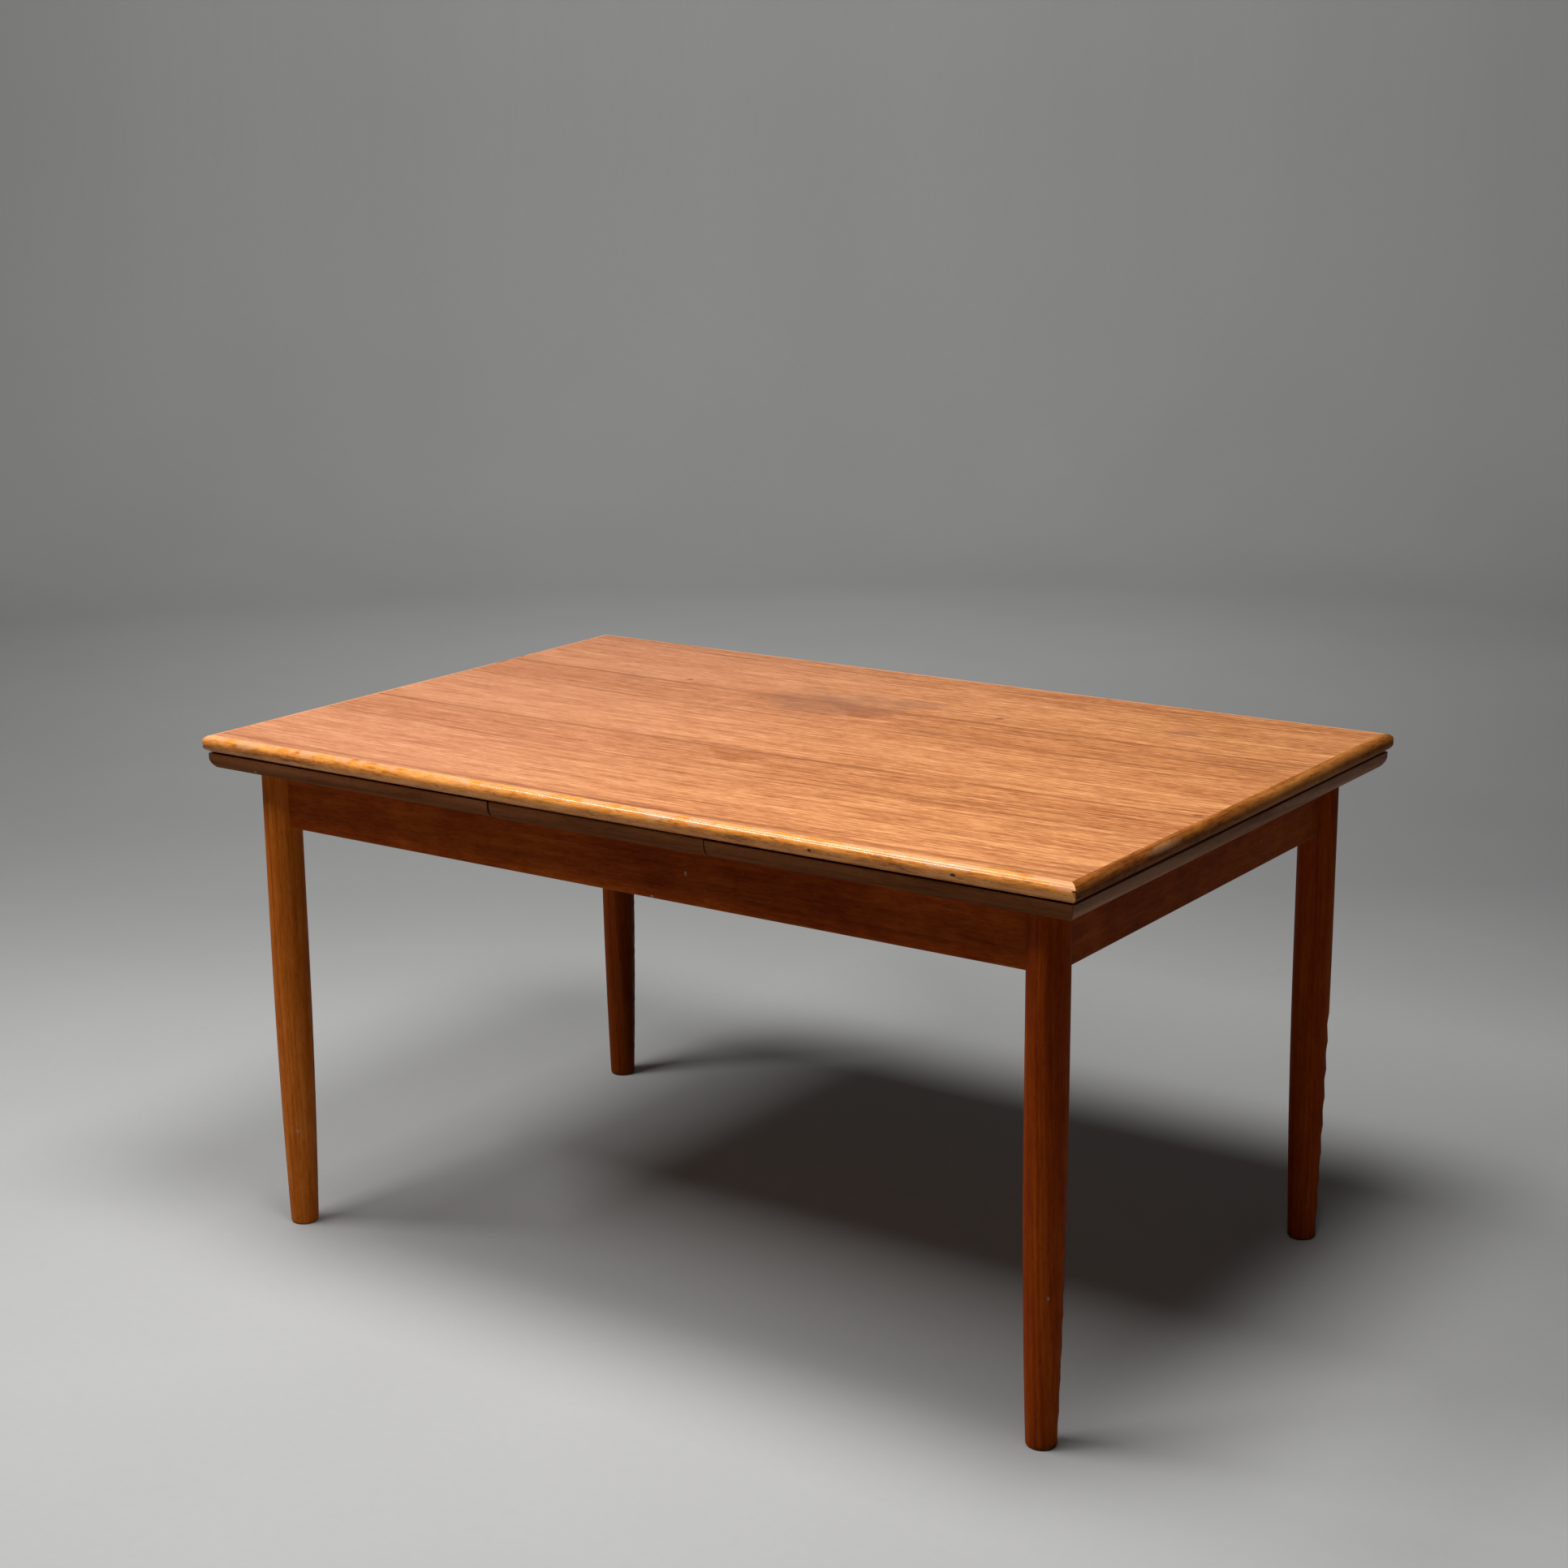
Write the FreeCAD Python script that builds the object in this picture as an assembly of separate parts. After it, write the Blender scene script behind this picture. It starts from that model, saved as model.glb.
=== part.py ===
import FreeCAD, Part
import math
import os

# Draw-leaf dining table in teak: four turned legs, four aprons, a fixed centre board, a loose
# table top held on two guide pegs, and a leaf stored under each end of the top on two runners.
#
# Millimetres. The origin is on the floor under the middle of the table. +X runs along the
# length to the right, +Y to the back, +Z up. The leaves are modelled pushed in and the top down.

# ---------------------------------------------------------------- driving dimensions
LENGTH = 1380.0
WIDTH = 900.0
HEIGHT = 730.0

TOP_THICK = 23.0
LEAF_THICK = 21.0
CENTRE_THICK = 23.0
FELT_THICK = 1.0
LEAF_CLEARANCE = 1.0        # air between a leaf and the tops of the aprons

APRON_HEIGHT = 85.5
APRON_THICK = 20.0
APRON_SETBACK = 15.5        # from the outside of a leg to the face of the apron
APRON_EDGE_ROUND = 1.5

LEG_RADIUS = 26.5
LEG_FOOT_RADIUS = 19.5
LEG_FOOT_ROUND = 4.0
LEG_TAPER_START = 420.0     # height where the leg begins to narrow
LEG_INSET = 75.0            # from the edge of the top to a leg's axis

# Edge shapes: (rounding of the upper edge, height of the curved lower part, its radius)
TOP_EDGE = (10.3, 12.0, 13.0)
BOARD_EDGE = (1.0, 17.5, 23.0)
HIDDEN_EDGE = (1.0, 3.0, 3.0)
TOP_LIPPING = 13.0
BOARD_LIPPING = 14.0
TOP_CORNER_ROUND = 4.0      # in plan
LEAF_CORNER_ROUND = 2.0

LEAF_EDGE_INSET = 6.0       # from the edge of the top to the edge of a leaf
CENTRE_EDGE_INSET = 7.0
CENTRE_HALF = 171.5         # half the length of the centre board
SEAM_GAP = 2.5              # between the centre board and a leaf
LEAF_DRAW = 520.0           # how far a leaf slides out

RUNNER_WIDTH = 30.0
RUNNER_HEIGHT = 28.0
RUNNER_STEP = 2.0           # the runner is this much lower where it leaves its own leaf
RUNNER_OUTER_END = 628.0
RUNNER_END_WOOD = 13.0      # beyond the axis of the stop peg
LEFT_RUNNER_Y = 235.0
RIGHT_RUNNER_Y = 195.0
SLIDE_CLEARANCE = 0.5

STOP_PEG_RADIUS = 6.0
STOP_PEG_DROP = 12.0

RAIL_AXIS_X = 147.0
RAIL_THICK = 25.0
RAIL_HEIGHT = 65.0
RAIL_HOUSING = 8.0          # depth of the housing in the apron

BLOCK_NEAR = 30.0           # distances from the leg's axis along the diagonal
BLOCK_FAR = 60.0
BLOCK_HEIGHT = 56.0
BLOCK_TOP_DROP = 18.0

PEG_RADIUS = 8.0
PEG_HOLE_RADIUS = 9.0
PEG_Y = 300.0
PEG_DEPTH_IN_TOP = 14.0
TOP_LIFT = 28.0
PEG_WASHER_RADIUS = 17.0
PEG_WASHER_THICK = 3.0

FELT_RADIUS = 15.0
FELT_X = 130.0
FELT_Y = (-380.0, 0.0, 380.0)

# Fasteners
SCREW_HEAD_RADIUS = 4.5
SCREW_HEAD_HEIGHT = 3.0
SCREW_RADIUS = 2.25
SCREW_TIP = 5.0
SLOT_WIDTH = 1.0
SLOT_DEPTH = 1.0
SINK_RADIUS = 5.0
RUNNER_SCREW_SINK = 6.0
RUNNER_SCREW_LENGTH = 34.0
RUNNER_SCREW_X = (205.0, 337.0, 468.0, 600.0)
BOARD_SCREW_LENGTH = 37.0
BOARD_SCREW_BITE = 13.0
BOARD_SCREW_Y = (-325.0, 0.0, 325.0)
BLOCK_SCREW_LENGTH = 28.0
BLOCK_SCREW_BITE = 15.0
PEG_SCREW_LENGTH = 25.0
FASTENER_SPACING = 30.0     # between the two bolts, or two screws, of a corner block
BOLT_RADIUS = 4.0
BOLT_HOLE_RADIUS = 4.5
BOLT_BITE = 34.0            # length of the hanger bolt inside the leg
BOLT_TAIL = 13.0            # length beyond the corner block
WASHER_RADIUS = 10.0
WASHER_THICK = 1.6
NUT_FLATS = 13.0
NUT_HEIGHT = 6.5

# ---------------------------------------------------------------- levels and positions
HALF_LENGTH = LENGTH / 2
HALF_WIDTH = WIDTH / 2
TOP_UNDERSIDE = HEIGHT - TOP_THICK
CENTRE_SURFACE = TOP_UNDERSIDE - FELT_THICK
FRAME_TOP = CENTRE_SURFACE - CENTRE_THICK
LEAF_UNDERSIDE = FRAME_TOP + LEAF_CLEARANCE
LEAF_SURFACE = LEAF_UNDERSIDE + LEAF_THICK
APRON_BOTTOM = FRAME_TOP - APRON_HEIGHT
LEG_X = HALF_LENGTH - LEG_INSET
LEG_Y = HALF_WIDTH - LEG_INSET
APRON_FACE_X = LEG_X + LEG_RADIUS - APRON_SETBACK
APRON_FACE_Y = LEG_Y + LEG_RADIUS - APRON_SETBACK
APRON_INNER_X = APRON_FACE_X - APRON_THICK
APRON_INNER_Y = APRON_FACE_Y - APRON_THICK
LEAF_INNER = CENTRE_HALF + SEAM_GAP
LEAF_OUTER = HALF_LENGTH - LEAF_EDGE_INSET
LEAF_HALF_WIDTH = HALF_WIDTH - LEAF_EDGE_INSET
CENTRE_HALF_WIDTH = HALF_WIDTH - CENTRE_EDGE_INSET
RUNNER_UNDERSIDE = LEAF_UNDERSIDE - RUNNER_HEIGHT
RUNNER_BED = RUNNER_UNDERSIDE - SLIDE_CLEARANCE
RAIL_NEAR = RAIL_AXIS_X - RAIL_THICK / 2
STOP_PEG_X = LEAF_DRAW + SLIDE_CLEARANCE + STOP_PEG_RADIUS - RAIL_NEAR
RUNNER_INNER_END = STOP_PEG_X + RUNNER_END_WOOD
BLOCK_TOP = FRAME_TOP - BLOCK_TOP_DROP
BLOCK_MIDDLE = BLOCK_TOP - BLOCK_HEIGHT / 2
PEG_END = FRAME_TOP - TOP_LIFT - SLIDE_CLEARANCE
UP = FreeCAD.Vector(0, 0, 1)
SIDE_SIGN = {"left": -1, "right": 1}
DEPTH_SIGN = {"front": -1, "back": 1}
RUNNER_Y = {"left": LEFT_RUNNER_Y, "right": RIGHT_RUNNER_Y}


# ---------------------------------------------------------------- basic shapes
def vector(x, y, z=0.0):
    return FreeCAD.Vector(x, y, z)


def block(x0, x1, y0, y1, z0, z1):
    corner = vector(min(x0, x1), min(y0, y1), min(z0, z1))
    return Part.makeBox(abs(x1 - x0), abs(y1 - y0), abs(z1 - z0), corner)


def prism(outline, z0, z1):
    """Upright prism on a closed outline of (x, y) points."""
    points = [vector(x, y, z0) for x, y in outline]
    face = Part.Face(Part.makePolygon(points + points[:1]))
    return face.extrude(UP * (z1 - z0))


def group(solids):
    return Part.makeCompound(solids)


def turned(edges):
    """Solid of revolution about +Z from profile edges in the XZ plane."""
    return Part.Face(Part.Wire(edges)).revolve(vector(0, 0), UP, 360)


def line(start, end):
    return Part.LineSegment(start, end).toShape()


def arc(start, middle, end):
    return Part.Arc(start, middle, end).toShape()


def placed(shape, position, direction):
    """Copy of a shape made along +Z, moved to position and turned to direction."""
    copy = shape.copy()
    copy.Placement = FreeCAD.Placement(position, FreeCAD.Rotation(UP, direction))
    return copy


def wood_screw(length):
    """Slotted countersunk screw along +Z, with its head's flat face at the origin."""
    outline = [(0, 0), (SCREW_HEAD_RADIUS, 0), (SCREW_RADIUS, SCREW_HEAD_HEIGHT),
               (SCREW_RADIUS, length - SCREW_TIP), (0, length)]
    points = [vector(x, 0, z) for x, z in outline]
    body = Part.Face(Part.makePolygon(points + points[:1])).revolve(vector(0, 0), UP, 360)
    slot = block(-SCREW_HEAD_RADIUS, SCREW_HEAD_RADIUS, -SLOT_WIDTH / 2, SLOT_WIDTH / 2,
                 0, SLOT_DEPTH)
    return body, body.cut(slot)


def ring(outer, inner, height):
    return Part.makeCylinder(outer, height).cut(Part.makeCylinder(inner, height))


def hex_nut():
    corner = NUT_FLATS / math.sqrt(3)
    outline = [(corner * math.cos(math.radians(60 * i)), corner * math.sin(math.radians(60 * i)))
               for i in range(6)]
    return prism(outline, 0, NUT_HEIGHT).cut(Part.makeCylinder(BOLT_RADIUS, NUT_HEIGHT))


# ---------------------------------------------------------------- edged boards
def board_sides(x0, x1, y0, y1):
    """Start corner, direction along the side, and direction into the board, for each side."""
    return {
        "front": (vector(x0, y0), vector(1, 0), vector(0, 1)),
        "right": (vector(x1, y0), vector(0, 1), vector(-1, 0)),
        "back": (vector(x1, y1), vector(-1, 0), vector(0, -1)),
        "left": (vector(x0, y1), vector(0, -1), vector(1, 0)),
    }


def edge_profile(start, inward, depth, z_top, thick, edge):
    """Cross-section of a board whose edge at start is rounded above and undercut below."""
    upper, drop, radius = edge
    belly = z_top - thick + drop
    rise = math.sqrt(radius ** 2 - drop ** 2)
    half = math.asin(drop / radius) / 2

    def at(inset, z):
        return start + inward * inset + UP * z

    quarter = upper * (1 - math.cos(math.radians(45)))
    shape = [
        line(at(depth, z_top), at(upper, z_top)),
        arc(at(upper, z_top), at(quarter, z_top - quarter), at(0, z_top - upper)),
        line(at(0, z_top - upper), at(0, belly)),
        arc(at(0, belly), at(radius * (1 - math.cos(half)), belly - radius * math.sin(half)),
            at(radius - rise, z_top - thick)),
        line(at(radius - rise, z_top - thick), at(depth, z_top - thick)),
        line(at(depth, z_top - thick), at(depth, z_top)),
    ]
    return Part.Face(Part.Wire(shape))


def rounded_outline(x0, x1, y0, y1, z0, z1, corners, radius):
    """Block whose named upright corners, as (x, y), are rounded in plan."""
    blank = block(x0, x1, y0, y1, z0, z1)
    upright = [e for e in blank.Edges
               if abs(e.tangentAt(e.FirstParameter).z) > 0.5
               and any(abs(e.CenterOfMass.x - x) + abs(e.CenterOfMass.y - y) < 0.1
                       for x, y in corners)]
    return blank.makeFillet(radius, upright) if upright else blank


def edged_slab(x0, x1, y0, y1, z_top, thick, side, edge):
    """Slab moulded along one side only."""
    start, along, inward = board_sides(x0, x1, y0, y1)[side]
    width = abs(vector(x1 - x0, y1 - y0).dot(along))
    depth = abs(vector(x1 - x0, y1 - y0).dot(inward))
    return edge_profile(start, inward, depth, z_top, thick, edge).extrude(along * width)


def shaped_board(x0, x1, y0, y1, z_top, thick, edges, corners=(), radius=0.0):
    """Board with an edge shape of its own on each side and the mouldings mitred at the corners."""
    board = rounded_outline(x0, x1, y0, y1, z_top - thick, z_top, corners, radius)
    for side, edge in edges.items():
        board = board.common(edged_slab(x0, x1, y0, y1, z_top, thick, side, edge))
    return board


def divided_board(board, x0, x1, y0, y1, lipping):
    """The panel and its four mitred lippings, as a dictionary by side."""
    z0 = board.BoundBox.ZMin
    z1 = board.BoundBox.ZMax
    pieces = {"panel": board.common(block(x0 + lipping, x1 - lipping,
                                          y0 + lipping, y1 - lipping, z0, z1))}
    for side, (start, along, inward) in board_sides(x0, x1, y0, y1).items():
        length = abs(vector(x1 - x0, y1 - y0).dot(along))
        near = start + along * lipping + inward * lipping
        far = start + along * (length - lipping) + inward * lipping
        end = start + along * length
        outline = [(p.x, p.y) for p in (start, end, far, near)]
        pieces[side] = board.common(prism(outline, z0, z1))
    return pieces


# ---------------------------------------------------------------- table top
def make_top():
    area = (-HALF_LENGTH, HALF_LENGTH, -HALF_WIDTH, HALF_WIDTH)
    edges = dict.fromkeys(("front", "back", "left", "right"), TOP_EDGE)
    corners = [(x, y) for x in area[:2] for y in area[2:]]
    board = shaped_board(*area, HEIGHT, TOP_THICK, edges, corners, TOP_CORNER_ROUND)
    pieces = divided_board(board, *area, TOP_LIPPING)
    nodes = {"top_panel": pieces.pop("panel")}
    for side, piece in pieces.items():
        nodes["top_" + side + "_lipping"] = piece
    washers = []
    screws = []
    shank, screw = wood_screw(PEG_SCREW_LENGTH)
    for depth, sign in DEPTH_SIGN.items():
        foot = vector(0, sign * PEG_Y, PEG_END)
        head = foot - UP * PEG_WASHER_THICK
        peg = Part.makeCylinder(PEG_RADIUS, TOP_UNDERSIDE + PEG_DEPTH_IN_TOP - PEG_END, foot)
        washer = Part.makeCylinder(PEG_WASHER_RADIUS, PEG_WASHER_THICK, head)
        hole = placed(shank, head, UP)
        nodes["top_panel"] = nodes["top_panel"].cut(peg)
        nodes[depth + "_guide_peg"] = peg.cut(hole)
        washers.append(washer.cut(hole))
        screws.append(placed(screw, head, UP))
    nodes["guide_peg_washers"] = group(washers)
    nodes["guide_peg_screws"] = group(screws)
    return nodes


# ---------------------------------------------------------------- draw leaves
def runner_shape(sign, y):
    """A leaf's runner: level below, a little lower above once it has left its own leaf."""
    step = RUNNER_UNDERSIDE + RUNNER_HEIGHT - RUNNER_STEP
    y0 = y - RUNNER_WIDTH / 2
    y1 = y + RUNNER_WIDTH / 2
    full = block(sign * LEAF_INNER, sign * RUNNER_OUTER_END, y0, y1,
                 RUNNER_UNDERSIDE, LEAF_UNDERSIDE)
    low = block(-sign * RUNNER_INNER_END, sign * LEAF_INNER, y0, y1, RUNNER_UNDERSIDE, step)
    return full.fuse(low).removeSplitter()


def make_leaf(name):
    sign = SIDE_SIGN[name]
    x0, x1 = sorted((sign * LEAF_INNER, sign * LEAF_OUTER))
    area = (x0, x1, -LEAF_HALF_WIDTH, LEAF_HALF_WIDTH)
    inner_side = "right" if name == "left" else "left"
    edges = dict.fromkeys(("front", "back", "left", "right"), BOARD_EDGE)
    edges[inner_side] = HIDDEN_EDGE
    corners = [(sign * LEAF_OUTER, y) for y in area[2:]]
    board = shaped_board(*area, LEAF_SURFACE, LEAF_THICK, edges, corners, LEAF_CORNER_ROUND)
    pieces = divided_board(board, *area, BOARD_LIPPING)
    panel = pieces.pop("panel")
    pieces["inner"] = pieces.pop(inner_side)
    pieces["outer"] = pieces.pop(name)
    nodes = {name + "_leaf_" + side + "_lipping": piece for side, piece in pieces.items()}
    screws = []
    pegs = []
    shank, screw = wood_screw(RUNNER_SCREW_LENGTH)
    for depth, depth_sign in DEPTH_SIGN.items():
        y = depth_sign * RUNNER_Y[name]
        runner = runner_shape(sign, y)
        for x in RUNNER_SCREW_X:
            mouth = vector(sign * x, y, RUNNER_UNDERSIDE)
            head = mouth + UP * RUNNER_SCREW_SINK
            hole = placed(shank, head, UP)
            sink = Part.makeCylinder(SINK_RADIUS, RUNNER_SCREW_SINK, mouth)
            runner = runner.cut(hole).cut(sink)
            panel = panel.cut(hole)
            screws.append(placed(screw, head, UP))
        foot = vector(-sign * STOP_PEG_X, y, RUNNER_UNDERSIDE - STOP_PEG_DROP)
        peg = Part.makeCylinder(STOP_PEG_RADIUS,
                                STOP_PEG_DROP + RUNNER_HEIGHT - RUNNER_STEP, foot)
        pegs.append(peg)
        nodes[name + "_leaf_" + depth + "_runner"] = runner.cut(peg)
    nodes[name + "_leaf_panel"] = panel
    nodes[name + "_leaf_runner_screws"] = group(screws)
    nodes[name + "_leaf_stop_pegs"] = group(pegs)
    return nodes


# ---------------------------------------------------------------- centre board and its rails
def runner_notch(x0, x1, y, drop):
    half = RUNNER_WIDTH / 2 + SLIDE_CLEARANCE
    return block(x0, x1, y - half, y + half, RUNNER_BED - drop, FRAME_TOP)


def make_cross_rail(name):
    """Rail under one edge of the centre board. The runners of the far leaf pass with their
    stop pegs, so their notches are deeper; the pegs of the near leaf stop against this rail."""
    sign = SIDE_SIGN[name]
    x0 = sign * RAIL_AXIS_X - RAIL_THICK / 2
    x1 = x0 + RAIL_THICK
    reach = APRON_INNER_Y + RAIL_HOUSING
    rail = block(x0, x1, -reach, reach, FRAME_TOP - RAIL_HEIGHT, FRAME_TOP)
    for leaf in SIDE_SIGN:
        drop = 0 if leaf == name else STOP_PEG_DROP
        for depth_sign in DEPTH_SIGN.values():
            rail = rail.cut(runner_notch(x0, x1, depth_sign * RUNNER_Y[leaf], drop))
    return rail


def make_centre_board():
    area = (-CENTRE_HALF, CENTRE_HALF, -CENTRE_HALF_WIDTH, CENTRE_HALF_WIDTH)
    edges = {"front": BOARD_EDGE, "back": BOARD_EDGE, "left": HIDDEN_EDGE, "right": HIDDEN_EDGE}
    board = shaped_board(*area, CENTRE_SURFACE, CENTRE_THICK, edges)
    pieces = divided_board(board, *area, BOARD_LIPPING)
    panel = pieces.pop("panel")
    nodes = {"centre_board_" + side + "_lipping": piece for side, piece in pieces.items()}
    for sign in DEPTH_SIGN.values():
        panel = panel.cut(Part.makeCylinder(PEG_HOLE_RADIUS, CENTRE_THICK,
                                            vector(0, sign * PEG_Y, FRAME_TOP)))
    screws = []
    shank, screw = wood_screw(BOARD_SCREW_LENGTH)
    for name, sign in SIDE_SIGN.items():
        rail = make_cross_rail(name)
        for y in BOARD_SCREW_Y:
            mouth = vector(sign * RAIL_AXIS_X, y, FRAME_TOP - RAIL_HEIGHT)
            head = vector(mouth.x, y, FRAME_TOP + BOARD_SCREW_BITE - BOARD_SCREW_LENGTH)
            hole = placed(shank, head, UP)
            rail = rail.cut(hole).cut(Part.makeCylinder(SINK_RADIUS, head.z - mouth.z, mouth))
            panel = panel.cut(hole)
            screws.append(placed(screw, head, UP))
        nodes[name + "_cross_rail"] = rail
    nodes["centre_board_panel"] = panel
    nodes["centre_board_screws"] = group(screws)
    nodes["centre_board_felt_pads"] = group(
        [Part.makeCylinder(FELT_RADIUS, FELT_THICK, vector(sign * FELT_X, y, CENTRE_SURFACE))
         for sign in SIDE_SIGN.values() for y in FELT_Y])
    return nodes


# ---------------------------------------------------------------- legs
def leg_radius_at(z):
    """Radius of the leg: straight above the taper's start, one long arc below it."""
    narrowing = LEG_RADIUS - LEG_FOOT_RADIUS
    sweep = (LEG_TAPER_START ** 2 + narrowing ** 2) / (2 * narrowing)
    drop = max(LEG_TAPER_START - z, 0)
    return LEG_RADIUS - (sweep - math.sqrt(sweep ** 2 - drop ** 2))


def leg_shape():
    ankle = leg_radius_at(LEG_FOOT_ROUND)
    turn = LEG_FOOT_ROUND * math.cos(math.radians(45))
    middle = (LEG_TAPER_START + LEG_FOOT_ROUND) / 2
    sole = vector(ankle - LEG_FOOT_ROUND, 0, 0)
    knuckle = vector(ankle, 0, LEG_FOOT_ROUND)
    knee = vector(LEG_RADIUS, 0, LEG_TAPER_START)
    crown = vector(LEG_RADIUS, 0, FRAME_TOP)
    return turned([
        line(vector(0, 0, 0), sole),
        arc(sole, vector(ankle - LEG_FOOT_ROUND + turn, 0, LEG_FOOT_ROUND - turn), knuckle),
        arc(knuckle, vector(leg_radius_at(middle), 0, middle), knee),
        line(knee, crown),
        line(crown, vector(0, 0, FRAME_TOP)),
        line(vector(0, 0, FRAME_TOP), vector(0, 0, 0)),
    ])


# ---------------------------------------------------------------- aprons and corners
def softened(apron):
    """Apron with its long bottom edges eased."""
    edges = [e for e in apron.Edges
             if abs(e.CenterOfMass.z - APRON_BOTTOM) < 0.1
             and max(e.BoundBox.XLength, e.BoundBox.YLength) > 2 * APRON_THICK]
    return apron.makeFillet(APRON_EDGE_ROUND, edges)


def make_aprons():
    """The four aprons, before the legs and the fasteners are cut out of them."""
    nodes = {}
    for depth, sign in DEPTH_SIGN.items():
        apron = softened(block(-LEG_X, LEG_X, sign * APRON_INNER_Y, sign * APRON_FACE_Y,
                               APRON_BOTTOM, FRAME_TOP))
        for side in SIDE_SIGN.values():
            x0 = side * RAIL_AXIS_X - RAIL_THICK / 2
            apron = apron.cut(block(x0, x0 + RAIL_THICK, sign * APRON_INNER_Y,
                                    sign * (APRON_INNER_Y + RAIL_HOUSING),
                                    FRAME_TOP - RAIL_HEIGHT, FRAME_TOP))
        nodes[depth + "_apron"] = apron
    for name, sign in SIDE_SIGN.items():
        apron = softened(block(sign * APRON_INNER_X, sign * APRON_FACE_X, -LEG_Y, LEG_Y,
                               APRON_BOTTOM, FRAME_TOP))
        for depth_sign in DEPTH_SIGN.values():
            apron = apron.cut(runner_notch(sign * APRON_INNER_X, sign * APRON_FACE_X,
                                           depth_sign * RUNNER_Y[name], 0))
        nodes[name + "_end_apron"] = apron
    return nodes


def corner_block(side, depth):
    """Diagonal block between the two aprons of a corner, as an upright prism."""
    total = LEG_X + LEG_Y
    near = total - BLOCK_NEAR * math.sqrt(2)
    far = total - BLOCK_FAR * math.sqrt(2)
    outline = [(APRON_INNER_X, far - APRON_INNER_X), (APRON_INNER_X, near - APRON_INNER_X),
               (near - APRON_INNER_Y, APRON_INNER_Y), (far - APRON_INNER_Y, APRON_INNER_Y)]
    return prism([(side * x, depth * y) for x, y in outline], BLOCK_TOP - BLOCK_HEIGHT, BLOCK_TOP)


def block_screw_heads(side, depth):
    """Head position and direction of the screws that hold a corner block to its aprons."""
    total = LEG_X + LEG_Y
    middle = total - (BLOCK_NEAR + BLOCK_FAR) / 2 * math.sqrt(2)
    head = BLOCK_SCREW_LENGTH - BLOCK_SCREW_BITE
    for dz in (-FASTENER_SPACING / 2, FASTENER_SPACING / 2):
        z = BLOCK_MIDDLE + dz
        yield vector(side * (middle - APRON_INNER_Y), depth * (APRON_INNER_Y - head), z), \
            vector(0, depth)
        yield vector(side * (APRON_INNER_X - head), depth * (middle - APRON_INNER_X), z), \
            vector(side, 0)


def make_corner(side_name, depth_name, nodes, loose):
    """Adds a leg and a corner block, and cuts the leg and the fasteners out of the aprons."""
    side = SIDE_SIGN[side_name]
    depth = DEPTH_SIGN[depth_name]
    axis = vector(side * LEG_X, depth * LEG_Y)
    inward = vector(-side, -depth).normalize()
    leg = leg_shape()
    leg.translate(axis)
    wood = corner_block(side, depth)
    aprons = (depth_name + "_apron", side_name + "_end_apron")
    sleeve = Part.makeCylinder(LEG_RADIUS, HEIGHT, axis)
    for name in aprons:
        nodes[name] = nodes[name].cut(sleeve)
    shank, screw = wood_screw(BLOCK_SCREW_LENGTH)
    for head, direction in block_screw_heads(side, depth):
        hole = placed(shank, head, direction)
        sink = Part.makeCylinder(SINK_RADIUS, 2 * SINK_RADIUS + BLOCK_FAR - BLOCK_NEAR,
                                 head, direction * -1)
        wood = wood.cut(hole).cut(sink)
        for name in aprons:
            nodes[name] = nodes[name].cut(hole)
        loose["corner_block_screws"].append(placed(screw, head, direction))
    for dz in (-FASTENER_SPACING / 2, FASTENER_SPACING / 2):
        centre = axis + UP * (BLOCK_MIDDLE + dz)
        start = centre + inward * (LEG_RADIUS - BOLT_BITE)
        length = BOLT_BITE + BLOCK_FAR - LEG_RADIUS + BOLT_TAIL
        bolt = Part.makeCylinder(BOLT_RADIUS, length, start, inward)
        leg = leg.cut(bolt)
        wood = wood.cut(Part.makeCylinder(BOLT_HOLE_RADIUS, BLOCK_FAR, centre, inward))
        seat = centre + inward * BLOCK_FAR
        loose["leg_hanger_bolts"].append(bolt)
        loose["leg_bolt_washers"].append(
            placed(ring(WASHER_RADIUS, BOLT_HOLE_RADIUS, WASHER_THICK), seat, inward))
        loose["leg_bolt_nuts"].append(placed(hex_nut(), seat + inward * WASHER_THICK, inward))
    nodes[depth_name + "_" + side_name + "_leg"] = leg
    nodes[depth_name + "_" + side_name + "_corner_block"] = wood


def make_frame():
    nodes = make_aprons()
    loose = {"corner_block_screws": [], "leg_hanger_bolts": [],
             "leg_bolt_washers": [], "leg_bolt_nuts": []}
    for side_name in SIDE_SIGN:
        for depth_name in DEPTH_SIGN:
            make_corner(side_name, depth_name, nodes, loose)
    for name, solids in loose.items():
        nodes[name] = group(solids)
    nodes.update(make_centre_board())
    return nodes


# ---------------------------------------------------------------- output
def main():
    os.makedirs("parts", exist_ok=True)
    nodes = make_frame()
    nodes.update(make_top())
    for name in SIDE_SIGN:
        nodes.update(make_leaf(name))
    for name, shape in sorted(nodes.items()):
        shape.exportStep("parts/" + name + ".step")
        print(name, len(shape.Solids), "solids", round(shape.Volume / 1000, 2), "cm3",
              "valid" if shape.isValid() else "INVALID")


main()
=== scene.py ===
import math
import bmesh
import bpy
from mathutils import Matrix, Vector


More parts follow.
